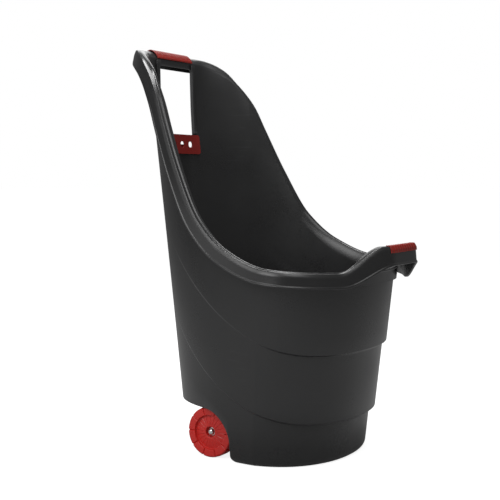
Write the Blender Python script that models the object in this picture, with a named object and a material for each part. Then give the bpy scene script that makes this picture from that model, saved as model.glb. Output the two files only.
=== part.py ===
"""Garden cart: a tall-backed plastic tub on two wheels, with a handle at the back and at the front.

Metres, +Z up. The cart stands on z = 0 with the low front lip towards -Y, the tall back
towards +Y and the axle along X. Every ring of the tub is a superellipse whose half width,
front edge, back edge and middle are smooth functions of height.
"""

import math

import bmesh
import bpy
import numpy as np

# Driving dimensions of the tub (m)
RIM_TOP = 0.838
WALL = 0.003
BASE_ROUND = 0.015
COLUMNS = 96
FRONT_POWER = 2.12
BACK_POWER = 2.07

# The rim: a flat flange with a raised inner lip and a skirt that hangs from its outer edge
FLANGE_WIDTH = 0.019
SKIRT_DEPTH = 0.029
LIP_HEIGHT = 0.0022
BAR_WIDTH = 0.0256
BAR_SKIRT_DEPTH = 0.032
BAR_FLARE = 0.001
BAR_CROWN = 0.015
BAR_MIDDLE = 0.0165

# The side view of the rim, as (y, z) of the wall's top edge from the front to the back
RIM_SIDE_VIEW = (
    (-0.245, 0.382),
    (-0.113, 0.394),
    (-0.028, 0.427),
    (0.037, 0.484),
    (0.090, 0.578),
    (0.134, 0.6760),
    (0.154, 0.7230),
    (0.180, 0.7662),
    (0.211, 0.8090),
    (0.238, 0.8285),
    (0.256, RIM_TOP - 0.0025),
    (0.272, RIM_TOP),
    (0.300, RIM_TOP),
)

# Two moulded steps sweep round the tub: height at the front, then a rise towards the back
UPPER_STEP = {"front": 0.225, "rise": 1.54, "power": 2.0, "depth": 0.0092}
LOWER_STEP = {"front": 0.088, "rise": 1.88, "power": 2.3, "depth": 0.0131}
STEP_HEIGHT = 0.003

# The front handle: the flange widens into a loop that rises above the front lip
BAR_FRONT = -0.292
BAR_CORNER = 0.0666
BAR_CORNER_Y = -0.2885
ARM_SLOPE = 0.700
HANDLE_RISE = 0.0505
SKIRT_RISE = 0.042
FINGER_GAP = ((0.086, -0.2480), (0.058, -0.2715))
LEDGE_OUT = 0.0085
LEDGE_DOWN = 0.027
LEDGE_FADE = (0.125, 0.100)
RISE_FADE = (0.155, 0.070)
SKIRT_FADE = (0.152, 0.052)
FRONT_LIP_Y = -0.2375
FRONT_ZONE_Y = -0.10

# The opening under the rear bar, and the raised frame beside it
OPENING_HALF = 0.061
OPENING_BOTTOM = 0.627
OPENING_TOP = 0.806
FRAME_WIDTH = 0.010
FRAME_PROUD = 0.0045
FRAME_SPAN = (0.664, 0.816)

# Wheels, axle and the space for them under the back of the tub
WHEEL_RADIUS = 0.0515
WHEEL_WIDTH = 0.034
WHEEL_FACE = 0.165
AXLE_Y = 0.0577
AXLE_Z = WHEEL_RADIUS + 0.0005
AXLE_RADIUS = 0.005
GAP = 0.0003
WELL_RADIUS = WHEEL_RADIUS + 0.0075
WEB_PLACES = (-0.1245, -0.043, 0.043, 0.1245)
WEB_THICK = 0.004
BOSS_RADIUS = 0.011
BOSS_START = 0.1190

# The arch over the wheels: a round top, and a small round foot in front of it
ARCH_CENTRE = (0.063, 0.0390)
ARCH_RADIUS = 0.0635
ARCH_FOOT = 0.016

# Grips and tool rack
REAR_GRIP_HALF = 0.065
FRONT_GRIP_HALF = 0.062
GRIP_THICK = 0.0020
GRIP_SKIRT = -0.0200
RIB_PITCH = 0.006
RIB_DEPTH = 0.0006
RACK_HALF = 0.0745
RACK_BOTTOM = 0.6175
RACK_TOP = 0.660
RACK_THICK = 0.0025
RACK_GAP = 0.0014
SLOT_PITCH = 0.0302
SLOT_SIZE = (0.0165, 0.0140)
SLOT_ROUND = 0.0055
SLOT_HEIGHT = 0.6385
RACK_CORNER = 0.005
HOOK_HALF = 0.034


# ------------------------------------------------------------------ helpers
def clear_scene():
    """Start from an empty scene."""
    for obj in list(bpy.data.objects):
        bpy.data.objects.remove(obj, do_unlink=True)


def material(name, colour, roughness, metallic=0.0):
    """A plain Principled material."""
    made = bpy.data.materials.new(name)
    made.use_nodes = True
    shader = made.node_tree.nodes["Principled BSDF"]
    shader.inputs["Base Color"].default_value = (*colour, 1.0)
    shader.inputs["Roughness"].default_value = roughness
    shader.inputs["Metallic"].default_value = metallic
    return made


def mesh_object(name, points, faces, made_of=None):
    """A mesh object with its normals facing out."""
    mesh = bpy.data.meshes.new(name)
    mesh.from_pydata([tuple(p) for p in points], [], faces)
    work = bmesh.new()
    work.from_mesh(mesh)
    bmesh.ops.recalc_face_normals(work, faces=work.faces)
    work.to_mesh(mesh)
    work.free()
    obj = bpy.data.objects.new(name, mesh)
    bpy.context.scene.collection.objects.link(obj)
    if made_of:
        mesh.materials.append(made_of)
    return obj


def grid_faces(rows, columns, close_rows, close_columns):
    """Quads of a rows x columns grid of points, joined end to end where asked."""
    faces = []
    for r in range(rows if close_rows else rows - 1):
        for c in range(columns if close_columns else columns - 1):
            r2 = (r + 1) % rows
            c2 = (c + 1) % columns
            faces.append((r * columns + c, r * columns + c2, r2 * columns + c2, r2 * columns + c))
    return faces


def strip_solid(name, sections, made_of=None):
    """A solid swept through a list of closed sections, with flat end caps."""
    count = len(sections[0])
    points = [p for section in sections for p in section]
    faces = grid_faces(len(sections), count, False, True)
    faces.append(tuple(range(count)))
    last = (len(sections) - 1) * count
    faces.append(tuple(range(last, last + count)))
    return mesh_object(name, points, faces, made_of)


def prism(name, outline, axis, low, high, made_of=None):
    """A closed outline pushed along one axis. The outline holds the other two coordinates."""
    def place(point, along):
        place_of = list(point)
        place_of.insert(axis, along)
        return tuple(place_of)

    sections = [[place(p, low) for p in outline], [place(p, high) for p in outline]]
    return strip_solid(name, sections, made_of)


def arc(centre, radius, start, end, steps):
    """Points on an arc, angles in degrees."""
    angles = np.radians(np.linspace(start, end, steps + 1))
    return [(centre[0] + radius * math.cos(a), centre[1] + radius * math.sin(a)) for a in angles]


def rounded_rectangle(low, high, radius, steps=4):
    """Outline of a rectangle with round corners."""
    (x0, z0), (x1, z1) = low, high
    points = []
    corners = ((x1, z1, 0), (x0, z1, 90), (x0, z0, 180), (x1, z0, 270))
    for x, z, turn in corners:
        cx = x - radius if x == x1 else x + radius
        cz = z - radius if z == z1 else z + radius
        points += arc((cx, cz), radius, turn, turn + 90, steps)
    return points


def combine(target, other, operation):
    """Join, cut or trim the target with another solid, and drop the other."""
    change = target.modifiers.new(operation.title(), "BOOLEAN")
    change.operation = operation
    change.solver = "EXACT"
    change.object = other
    graph = bpy.context.evaluated_depsgraph_get()
    done = bpy.data.meshes.new_from_object(target.evaluated_get(graph))
    target.modifiers.clear()
    target.data = done
    bpy.data.objects.remove(other, do_unlink=True)


def soften(obj, angle=40):
    """Smooth shading with sharp edges kept."""
    obj.data.shade_smooth()
    obj.data.set_sharp_from_angle(angle=math.radians(angle))


def smoothstep(low, high, value):
    """0 below low, 1 above high and a smooth rise between; low may be the larger."""
    share = np.clip((np.asarray(value, float) - low) / (high - low), 0, 1)
    return share * share * (3 - 2 * share)


def soft_min(a, b, width):
    """The smaller of a and b, rounded where they cross."""
    return -width * np.logaddexp(-np.asarray(a) / width, -np.asarray(b) / width)


# ------------------------------------------------------------------ the tub's surface
def half_width(z):
    return 0.183 + 0.147 * z - 0.078 * z * z


def front_edge(z):
    return -0.207 - 0.081 * z


def back_edge(z):
    return 0.190 + 0.087 * z + 0.039 * z * z


def middle(z):
    return -0.052 - 0.125 * z


def back_panel(z):
    """The flat panel that the top of the back eases into."""
    return 0.178 + 0.1822 * z - 0.1065 * z * z


def plan_point(angle, z):
    """Outer surface at this height; the angle runs from the front round past +X to the back."""
    s, c = np.sin(angle), np.cos(angle)
    power = np.where(c > 0, FRONT_POWER, BACK_POWER)
    reach = np.where(c > 0, middle(z) - front_edge(z), back_edge(z) - middle(z))
    radius = (np.abs(s) ** power + np.abs(c) ** power) ** (-1 / power)
    y = soft_min(middle(z) - reach * radius * c, back_panel(z), 0.004)
    return half_width(z) * radius * s, y


def plan_normal(angle, z):
    """Outward direction of the surface, level with the floor."""
    small = 1e-3
    x1, y1 = plan_point(angle + small, z)
    x0, y0 = plan_point(angle - small, z)
    tx, ty = x1 - x0, y1 - y0
    length = np.hypot(tx, ty)
    return ty / length, -tx / length


def wall_points(angle, z, inset=0.0):
    """Points on the wall, moved inwards by inset."""
    x, y = plan_point(angle, z)
    nx, ny = plan_normal(angle, z)
    return np.stack([x - inset * nx, y - inset * ny, np.broadcast_to(z, x.shape)], axis=-1)


def back_face(x, z, inset=WALL):
    """The inner face of the back wall: its y at this x and height."""
    angle = np.linspace(0.72 * np.pi, 1.28 * np.pi, 601)
    points = wall_points(angle, z * np.ones_like(angle), inset)
    return np.interp(x, points[::-1, 0], points[::-1, 1])


def height_on(angle, curve):
    """Height at which the surface meets a curve z = curve(y), for every column."""
    low, high = np.zeros_like(angle), np.full_like(angle, 0.9)
    for _ in range(40):
        mid = (low + high) / 2
        above = mid > curve(plan_point(angle, mid)[1])
        high = np.where(above, mid, high)
        low = np.where(above, low, mid)
    return (low + high) / 2


def rim_height(y):
    """The rim's side view: a smooth monotone curve through its points."""
    ys, zs = np.array(RIM_SIDE_VIEW).T
    step, rise = np.diff(ys), np.diff(zs)
    slope = rise / step
    ends = np.zeros_like(ys)
    both = slope[1:] * slope[:-1] > 0
    weight_1, weight_2 = 2 * step[1:] + step[:-1], step[1:] + 2 * step[:-1]
    mean = (weight_1 + weight_2) / (
        weight_1 / np.where(both, slope[:-1], 1) + weight_2 / np.where(both, slope[1:], 1)
    )
    ends[1:-1] = np.where(both, mean, 0)
    ends[0] = slope[0]
    y = np.clip(y, ys[0], ys[-1])
    k = np.clip(np.searchsorted(ys, y) - 1, 0, len(step) - 1)
    t = (y - ys[k]) / step[k]
    return (
        (2 * t**3 - 3 * t**2 + 1) * zs[k]
        + (t**3 - 2 * t**2 + t) * step[k] * ends[k]
        + (3 * t**2 - 2 * t**3) * zs[k + 1]
        + (t**3 - t**2) * step[k] * ends[k + 1]
    )


def step_height(step):
    """The line of a moulded step as a function of y."""
    def line(y):
        return step["front"] + step["rise"] * np.clip(y + 0.217, 0, None) ** step["power"]

    return line


def step_share(angle, z):
    """How deep the steps are here: full at the front, gone at the back."""
    y = plan_point(angle, z)[1]
    front_share = np.clip((middle(z) - y) / (middle(z) - front_edge(z)), 0, 1) ** 0.8
    return (0.12 + 0.88 * front_share) * smoothstep(0.17, 0.05, y)


def column_angles():
    """Columns round the tub, a little denser at the front and the back."""
    even = 2 * np.pi * np.arange(COLUMNS) / COLUMNS
    return even - 0.13 * np.sin(2 * even)


# ------------------------------------------------------------------ the rim and front handle
def handle_outline(x):
    """Plan view of the front handle's outer edge: a bar with arms that sweep back."""
    arm = BAR_CORNER_Y + ARM_SLOPE * (np.abs(x) - BAR_CORNER)
    return -soft_min(-BAR_FRONT * np.ones_like(arm), -arm, 0.004)


def bar_share(z):
    """1 on the rear bar, easing to 0 down the sides of the rim."""
    return smoothstep(0.760, 0.832, z)


def bar_crown(out):
    """The rear bar's rounded top: how far the plate drops away from its middle."""
    return -BAR_CROWN * ((out - BAR_MIDDLE) / (BAR_MIDDLE + WALL)) ** 2


def flange_reach(top, normal):
    """Width of the flange at each column: it widens at the front to carry the handle."""
    low, high = np.zeros(len(top)), np.full(len(top), 0.12)
    for _ in range(40):
        mid = (low + high) / 2
        point = top[:, :2] + mid[:, None] * normal
        outside = point[:, 1] < handle_outline(point[:, 0])
        high = np.where(outside, mid, high)
        low = np.where(outside, low, mid)
    share = smoothstep(0.168, 0.132, np.abs(top[:, 0])) * (top[:, 1] < 0)
    bar = (BAR_WIDTH - FLANGE_WIDTH) * bar_share(top[:, 2])
    return FLANGE_WIDTH + bar + share * np.clip((low + high) / 2 - FLANGE_WIDTH, 0, None)


def rim_frames(angle):
    """Top edge of the wall, outward normal and the direction that counts as up, per column."""
    top_z = height_on(angle, rim_height)
    top = wall_points(angle, top_z)
    normal = np.stack(plan_normal(angle, top_z), axis=-1)
    along = np.roll(top, -1, axis=0) - np.roll(top, 1, axis=0)
    level = np.column_stack([normal, np.zeros(len(top))])
    up = np.cross(level, along)
    up /= np.linalg.norm(up, axis=1, keepdims=True)
    up *= np.sign(up[:, 2:3])
    return top, level, up


def flange_rows(angle):
    """Rows of points over the flange, from its underside at the wall to the inner lip."""
    top, level, up = rim_frames(angle)
    width = flange_reach(top, level[:, :2])
    outer_x = np.abs(top[:, 0] + width * level[:, 0])
    at_front = top[:, 1] < FRONT_ZONE_Y
    rise = HANDLE_RISE * smoothstep(*RISE_FADE, outer_x) * at_front
    skirt_rise = SKIRT_RISE * smoothstep(*SKIRT_FADE, outer_x) * at_front
    at_bar = bar_share(top[:, 2])
    depth = SKIRT_DEPTH + rise - skirt_rise + (BAR_SKIRT_DEPTH - SKIRT_DEPTH) * at_bar
    flare = 0.003 + BAR_FLARE * at_bar
    plain = np.maximum(at_bar, smoothstep(0.120, 0.090, np.abs(top[:, 0])) * at_front)
    lip = -0.0008 + (LIP_HEIGHT + 0.0008) * (1 - plain)
    ledge = LEDGE_OUT * smoothstep(*LEDGE_FADE, np.abs(top[:, 0])) * at_front

    def row(out, down):
        """Points this far out from the wall and this far up from the rim line."""
        on_plate = smoothstep(-0.012, -0.008, down)
        down = down + at_bar * on_plate * bar_crown(out)
        lifted = rise * smoothstep(0.20, 0.62, out / width)
        return top + out[:, None] * level + down[:, None] * up + lifted[:, None] * (0, 0, 1)

    same = np.ones(len(top))
    plate = [0.25 * width, 0.42 * width, 0.62 * width]
    under = [row(np.maximum(out, ledge), -0.0040 * same) for out in plate]
    over = [row(out, -0.0008 * same) for out in reversed(plate)]
    return (
        [row(ledge, -0.0040 * same)]
        + under
        + [
            row(width - 0.0035, -0.0042 * same),
            row(width + flare - 0.0030, -depth),
            row(width + flare, -depth),
            row(width + 0.0005, -0.0070 * same),
            row(width - 0.0030, -0.0008 * same),
        ]
        + over
        + [
            row(0.0042 * same, -0.0008 * same),
            row(0.0030 * same, -0.0020 * same),
            row(0.0020 * same, lip),
            row(-0.0020 * same, lip),
            row(-WALL * same, lip - 0.0012 * (1 - at_bar)),
        ]
    )


def wall_rows(angle):
    """Rows up the outside of the wall and down its inside."""
    top_z = height_on(angle, rim_height)
    upper = height_on(angle, step_height(UPPER_STEP))
    lower = height_on(angle, step_height(LOWER_STEP))
    upper_in = UPPER_STEP["depth"] * step_share(angle, upper)
    lower_in = upper_in + LOWER_STEP["depth"] * step_share(angle, lower)
    outside = []
    for turn in np.radians((0, 30, 60, 90)):
        z = BASE_ROUND * (1 - math.cos(turn)) * np.ones_like(angle)
        outside.append(wall_points(angle, z, lower_in + BASE_ROUND * (1 - math.sin(turn))))
    outside += [
        wall_points(angle, lower - STEP_HEIGHT, lower_in),
        wall_points(angle, lower, upper_in),
        wall_points(angle, (lower + upper) / 2, upper_in),
        wall_points(angle, upper - STEP_HEIGHT, upper_in),
        wall_points(angle, upper, 0),
        wall_points(angle, upper + 0.33 * (top_z - upper), 0),
        wall_points(angle, upper + 0.67 * (top_z - upper), 0),
    ]
    ledge_share = smoothstep(*LEDGE_FADE, np.abs(plan_point(angle, top_z)[0]))
    ledge_share = ledge_share * (np.cos(angle) > 0)
    ledge_z = top_z - LEDGE_DOWN
    outside += [
        wall_points(angle, ledge_z - 0.002, 0),
        wall_points(angle, ledge_z, -LEDGE_OUT * ledge_share),
    ]
    inside = [
        wall_points(angle, top_z - 0.012 - 0.012 * bar_share(top_z), WALL),
        wall_points(angle, upper + 0.67 * (top_z - upper), WALL),
        wall_points(angle, upper + 0.33 * (top_z - upper), WALL),
        wall_points(angle, upper, WALL),
        wall_points(angle, upper - STEP_HEIGHT, upper_in + WALL),
        wall_points(angle, lower, upper_in + WALL),
        wall_points(angle, lower - STEP_HEIGHT, lower_in + WALL),
    ]
    inner_round = BASE_ROUND - WALL
    for turn in np.radians((90, 45, 0)):
        z = (BASE_ROUND - inner_round * math.cos(turn)) * np.ones_like(angle)
        inside.append(wall_points(angle, z, lower_in + BASE_ROUND - inner_round * math.sin(turn)))
    return outside, inside


def tub_wall(made_of):
    """The wall and its rim as one closed tube, open at the top and the bottom."""
    angle = column_angles()
    outside, inside = wall_rows(angle)
    rows = outside + flange_rows(angle) + inside
    points = np.concatenate(rows)
    return mesh_object("tub", points, grid_faces(len(rows), COLUMNS, True, True), made_of)


# ------------------------------------------------------------------ the tub's floor and well
def well_outline(grow):
    """Side view of the space round the wheels: up round the wheel, then level to the back."""
    centre = (AXLE_Y, AXLE_Z)
    radius = WELL_RADIUS + grow
    return arc(centre, radius, 180, 90, 8) + [(0.30, AXLE_Z + radius)]


def floor_outline():
    """The floor in side view: flat at the front, then up and over the wheels.

    It starts a little below z = 0, where the lower body's flat base trims it.
    """
    under = well_outline(0)
    over = well_outline(WALL)
    low, high = -0.0004, WALL
    front = -0.30
    return (
        [(front, low), (under[0][0], low)] + under + over[::-1] + [(over[0][0], high), (front, high)]
    )


def lower_body(inset):
    """The lower tub as a closed block, inset from its outer surface."""
    angle = column_angles()
    share = step_share(angle, 0.05 * np.ones_like(angle))
    depth = (UPPER_STEP["depth"] + LOWER_STEP["depth"]) * share
    rows = []
    for turn in np.radians((0, 30, 60, 90)):
        z = BASE_ROUND * (1 - math.cos(turn)) * np.ones_like(angle)
        rows.append(wall_points(angle, z, depth + inset + BASE_ROUND * (1 - math.sin(turn))))
    lower = height_on(angle, step_height(LOWER_STEP))
    rows.append(wall_points(angle, np.minimum(lower, 0.14), depth + inset))
    rows.append(wall_points(angle, 0.15 * np.ones_like(angle), depth + inset))
    return strip_solid("lower_body", [list(map(tuple, row)) for row in rows])


def add_floor(tub):
    """The floor sheet, trimmed to the middle of the wall's thickness and joined to the wall."""
    sheet = prism("floor_sheet", floor_outline(), 0, -0.26, 0.26)
    combine(sheet, lower_body(WALL * 0.42), "INTERSECT")
    combine(tub, sheet, "UNION")


def cut_wheel_arch(tub):
    """The arch in the wall: over the wheels and out at the back, with a rounded foot."""
    foot_y = ARCH_CENTRE[0] - ARCH_RADIUS - ARCH_FOOT
    outline = (
        [(0.40, ARCH_CENTRE[1] + ARCH_RADIUS)]
        + arc(ARCH_CENTRE, ARCH_RADIUS, 90, 180, 10)
        + arc((foot_y, ARCH_FOOT), ARCH_FOOT, 0, -90, 5)
        + [(foot_y, -0.02), (0.40, -0.02)]
    )
    combine(tub, prism("arch_cut", outline, 0, -0.30, 0.30), "DIFFERENCE")


def add_axle_webs(tub):
    """Webs under the raised floor that carry the axle, with a boss beside each wheel."""
    roof = AXLE_Z + WELL_RADIUS + 0.0015
    front = AXLE_Y - WELL_RADIUS - 0.0015
    for place in WEB_PLACES:
        outline = [
            (front, 0.030),
            (AXLE_Y - 0.020, 0.030),
            *arc((AXLE_Y, AXLE_Z), 0.0155, 235, 360, 7),
            (AXLE_Y + 0.030, roof - 0.012),
            (AXLE_Y + 0.040, roof),
            (AXLE_Y - 0.006, roof),
            *arc((AXLE_Y, AXLE_Z), WELL_RADIUS + 0.0015, 100, 170, 5),
        ]
        web = prism("web", outline, 0, place - WEB_THICK / 2, place + WEB_THICK / 2)
        combine(tub, web, "UNION")
    for side in (-1, 1):
        ends = sorted((side * BOSS_START, side * (WHEEL_FACE - WHEEL_WIDTH - 2 * GAP)))
        boss = prism("boss", arc((AXLE_Y, AXLE_Z), BOSS_RADIUS, 0, 337.5, 15), 0, *ends)
        combine(tub, boss, "UNION")
    bore = prism("bore", arc((AXLE_Y, AXLE_Z), AXLE_RADIUS + GAP, 0, 337.5, 15), 0, -0.2, 0.2)
    combine(tub, bore, "DIFFERENCE")


def frame_post(side):
    """A raised post on the inner face of the back, beside the opening."""
    near, far = side * (OPENING_HALF - 0.002), side * (OPENING_HALF + FRAME_WIDTH)
    sections = []
    for z in np.linspace(*FRAME_SPAN, 5):
        near_face, far_face = back_face(np.array([near, far]), z)
        sections.append(
            [
                (near, near_face + 0.0012, z),
                (near, near_face - FRAME_PROUD + 0.0012, z),
                (near + side * 0.0012, near_face - FRAME_PROUD, z),
                (far - side * 0.0030, far_face - FRAME_PROUD, z),
                (far, far_face - FRAME_PROUD + 0.0030, z),
                (far, far_face + 0.0012, z),
            ]
        )
    return strip_solid("post", sections)


def add_rear_opening(tub):
    """The opening under the rear bar, with a raised post on each side."""
    for side in (-1, 1):
        combine(tub, frame_post(side), "UNION")
    outline = rounded_rectangle((-OPENING_HALF, OPENING_BOTTOM), (OPENING_HALF, OPENING_TOP), 0.006)
    combine(tub, prism("opening_cut", outline, 1, 0.20, 0.2685), "DIFFERENCE")


def cut_finger_gap(tub):
    """The gap between the front handle's bar and the tub's front lip."""
    (wide, inner), (narrow, outer) = FINGER_GAP
    outline = [(-wide, inner), (wide, inner), (wide - 0.004, inner - 0.006)]
    outline += [(narrow + 0.006, outer + 0.002), (narrow - 0.004, outer)]
    outline += [(-x, y) for x, y in outline[:1:-1]]
    combine(tub, prism("finger_cut", outline, 2, 0.33, 0.47), "DIFFERENCE")


def make_tub(made_of):
    """The black tub: wall, rim, both handles, floor, wheel arch and axle webs in one moulding."""
    tub = tub_wall(made_of)
    add_floor(tub)
    cut_wheel_arch(tub)
    add_axle_webs(tub)
    add_rear_opening(tub)
    cut_finger_gap(tub)
    soften(tub, 32)
    return tub


# ------------------------------------------------------------------ grips
def offset_path(path, distance):
    """An open path moved to its left by a distance, mitred at its corners."""
    path = np.array(path, float)
    along = np.diff(path, axis=0)
    along /= np.linalg.norm(along, axis=1, keepdims=True)
    normal = np.column_stack([-along[:, 1], along[:, 0]])
    corner = np.vstack([normal[:1], normal[:-1] + normal[1:], normal[-1:]])
    corner /= np.linalg.norm(corner, axis=1, keepdims=True)
    stretch = 1 / np.maximum(0.5, (corner * np.vstack([normal[:1], normal])).sum(axis=1))
    return path + distance * stretch[:, None] * corner


def ribbed_cap(name, profile, stations, made_of):
    """A cap that wraps a bar: profile is (out, up) over the bar, stations place it along X.

    Crests and valleys alternate from one station to the next, which makes the ribs.
    """
    inner = offset_path(profile, GAP)
    sections = []
    for index, (origin, out_way) in enumerate(stations):
        valley = 0 < index < len(stations) - 1 and index % 2 == 0
        thick = GRIP_THICK - (RIB_DEPTH if valley else 0)
        outer = offset_path(profile, GAP + thick)
        section = []
        for out, up in list(outer) + list(inner[::-1]):
            section.append(
                (
                    origin[0] + out * out_way[0],
                    origin[1] + out * out_way[1],
                    origin[2] + up,
                )
            )
        sections.append(section)
    cap = strip_solid(name, sections, made_of)
    soften(cap, 35)
    return cap


def make_rear_grip(made_of):
    """Red ribbed cap over the rear bar."""
    base_y = float(back_panel(RIM_TOP))
    over = [-0.0030, -0.0020, 0.0020, 0.0042]
    over += [0.25 * BAR_WIDTH, 0.42 * BAR_WIDTH, 0.62 * BAR_WIDTH, BAR_WIDTH - 0.0030]
    profile = [(-WALL, -0.0180)] + [(out, -0.0008 + float(bar_crown(out))) for out in over]
    bevel = BAR_WIDTH + 0.0005
    bevel_low = -0.0070 + float(bar_crown(bevel))
    share = (GRIP_SKIRT - bevel_low) / (-BAR_SKIRT_DEPTH - bevel_low)
    skirt_out = bevel + share * (0.003 + BAR_FLARE - 0.0005)
    profile += [(bevel, bevel_low), (skirt_out, GRIP_SKIRT)]
    count = 2 * round(REAR_GRIP_HALF / RIB_PITCH * 2) + 1
    places = np.linspace(-REAR_GRIP_HALF, REAR_GRIP_HALF, count)
    stations = [((x, base_y, RIM_TOP), (0, 1)) for x in places]
    return ribbed_cap("rear_grip", profile, stations, made_of)


def make_front_grip(made_of):
    """Red ribbed cap over the top and the outer face of the front bar."""
    profile = [
        (-0.0120, -0.0006),
        (-0.0030, -0.0006),
        (0.0005, -0.0070),
        (0.0011, -0.0130),
    ]
    front_lip = float(rim_height(np.array([FRONT_LIP_Y]))[0])
    count = 2 * round(FRONT_GRIP_HALF / RIB_PITCH * 2) + 1
    places = np.linspace(-FRONT_GRIP_HALF, FRONT_GRIP_HALF, count)
    stations = []
    for x in places:
        y = float(handle_outline(np.array([x]))[0])
        slope = float(handle_outline(np.array([x + 1e-3]))[0] - y) / 1e-3
        length = math.hypot(slope, 1)
        rise = HANDLE_RISE * float(smoothstep(*RISE_FADE, abs(x)))
        stations.append(((x, y, front_lip + rise), (slope / length, -1 / length)))
    return ribbed_cap("front_grip", profile, stations, made_of)


# ------------------------------------------------------------------ tool rack
def rack_plate(made_of):
    """The rack's plate, bent to follow the inner face of the back, with round corners."""
    middle_z = (RACK_TOP + RACK_BOTTOM) / 2
    half_height = (RACK_TOP - RACK_BOTTOM) / 2
    sections = []
    ends = RACK_HALF - RACK_CORNER * (1 - np.cos(np.radians((90, 60, 30, 0))))
    right = np.concatenate([ends, np.linspace(RACK_HALF - RACK_CORNER, 0, 7)])
    for x in np.unique(np.round(np.concatenate([right, -right]), 6)):
        past = max(0.0, abs(x) - (RACK_HALF - RACK_CORNER))
        cut = RACK_CORNER - math.sqrt(max(RACK_CORNER**2 - past**2, 0.0))
        half = half_height - min(cut, RACK_CORNER * 0.98)
        section = []
        for z in np.linspace(middle_z - half, middle_z + half, 4):
            section.append((x, float(back_face(x, z)) - RACK_GAP - RACK_THICK, z))
        for z in np.linspace(middle_z + half, middle_z - half, 4):
            section.append((x, float(back_face(x, z)) - RACK_GAP, z))
        sections.append(section)
    return strip_solid("tool_rack", sections, made_of)


def make_tool_rack(made_of):
    """Red slotted plate on the inner face of the back, hooked over the opening's lower edge."""
    rack = rack_plate(made_of)
    edge = OPENING_BOTTOM
    inner = float(back_face(0.0, edge)) - RACK_GAP - RACK_THICK + 0.0010
    outer = float(back_face(0.0, edge)) + WALL + GAP
    low, high = edge + GAP + 0.0004, edge + GAP + 0.0026
    hook = [
        (inner, low),
        (outer, low),
        (outer, RACK_BOTTOM + 0.001),
        (outer + RACK_THICK, RACK_BOTTOM + 0.001),
        (outer + RACK_THICK, SLOT_HEIGHT),
        (outer, SLOT_HEIGHT),
        (outer, high),
        (inner, high),
    ]
    combine(rack, prism("hook", hook, 0, -HOOK_HALF, HOOK_HALF), "UNION")
    front = float(back_face(RACK_HALF, SLOT_HEIGHT)) - 0.01
    for number in (-1.5, -0.5, 0.5, 1.5):
        x = number * SLOT_PITCH
        low = (x - SLOT_SIZE[0] / 2, SLOT_HEIGHT - SLOT_SIZE[1] / 2)
        high = (x + SLOT_SIZE[0] / 2, SLOT_HEIGHT + SLOT_SIZE[1] / 2)
        slot = rounded_rectangle(low, high, SLOT_ROUND)
        back = float(back_face(x, SLOT_HEIGHT)) + 0.0012
        combine(rack, prism("slot", slot, 1, front, back), "DIFFERENCE")
    soften(rack)
    return rack


# ------------------------------------------------------------------ wheels and axle
def make_wheel(name, side, made_of):
    """Red moulded wheel: a raised outer band in ten blocks, a dished disc and a hub socket."""
    edge = WHEEL_RADIUS
    profile = [
        (AXLE_RADIUS + GAP, -0.0120),
        (0.0095, -0.0120),
        (0.0095, -0.0020),
        (0.0110, -0.0012),
        (0.0150, -0.0012),
        (0.0180, -0.0040),
        (0.0345, -0.0040),
        (0.0365, -0.0004),
        (edge - 0.0030, 0.0),
        (edge - 0.0006, -0.0024),
        (edge, -0.0080),
        (edge, -WHEEL_WIDTH + 0.007),
        (edge - 0.0025, -WHEEL_WIDTH),
        (0.0445, -WHEEL_WIDTH),
        (0.0435, -0.0085),
        (0.0140, -0.0130),
        (0.0130, -WHEEL_WIDTH),
        (AXLE_RADIUS + GAP, -WHEEL_WIDTH),
    ]
    blocks = 10
    groove = math.radians(2.4)
    share = 2 * math.pi / blocks
    angles, cut = [], []
    for block in range(blocks):
        start = block * share
        offsets = (0, groove, share * 0.36, share * 0.68, share - groove)
        for offset, deep in zip(offsets, (1, 0, 0, 0, 0)):
            angles.append(start + offset)
            cut.append(deep)
    points = []
    for angle, deep in zip(angles, cut):
        for radius, depth in profile:
            in_band = radius > 0.036 and depth > -0.020
            r = radius - (0.0012 * deep if radius >= edge - 0.001 else 0)
            d = depth - (0.0016 * deep if in_band and depth > -0.006 else 0)
            points.append((side * d, r * math.cos(angle), r * math.sin(angle)))
    wheel = mesh_object(name, points, grid_faces(len(angles), len(profile), True, True), made_of)
    wheel.location = (side * WHEEL_FACE, AXLE_Y, AXLE_Z)
    soften(wheel, 30)
    return wheel


def turned(name, profile, made_of, steps=20):
    """A closed turned piece: profile is (along X, radius), from one end on the axis to the other."""
    points = [(profile[0][0], 0, 0), (profile[-1][0], 0, 0)]
    rings = profile[1:-1]
    for along, radius in rings:
        for k in range(steps):
            turn = 2 * math.pi * k / steps
            points.append((along, radius * math.cos(turn), radius * math.sin(turn)))
    faces = []
    for k in range(steps):
        n = (k + 1) % steps
        faces.append((0, 2 + k, 2 + n))
        last = 2 + (len(rings) - 1) * steps
        faces.append((1, last + n, last + k))
        for r in range(len(rings) - 1):
            a, b = 2 + r * steps, 2 + (r + 1) * steps
            faces.append((a + k, b + k, b + n, a + n))
    obj = mesh_object(name, points, faces, made_of)
    obj.location = (0, AXLE_Y, AXLE_Z)
    soften(obj)
    return obj


def make_axle(made_of):
    """Steel rod through the webs and both wheels."""
    end = WHEEL_FACE - 0.0060
    chamfer = 0.0008
    profile = [
        (-end, 0),
        (-end, AXLE_RADIUS - chamfer),
        (-end + chamfer, AXLE_RADIUS),
        (end - chamfer, AXLE_RADIUS),
        (end, AXLE_RADIUS - chamfer),
        (end, 0),
    ]
    return turned("axle", profile, made_of)


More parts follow.
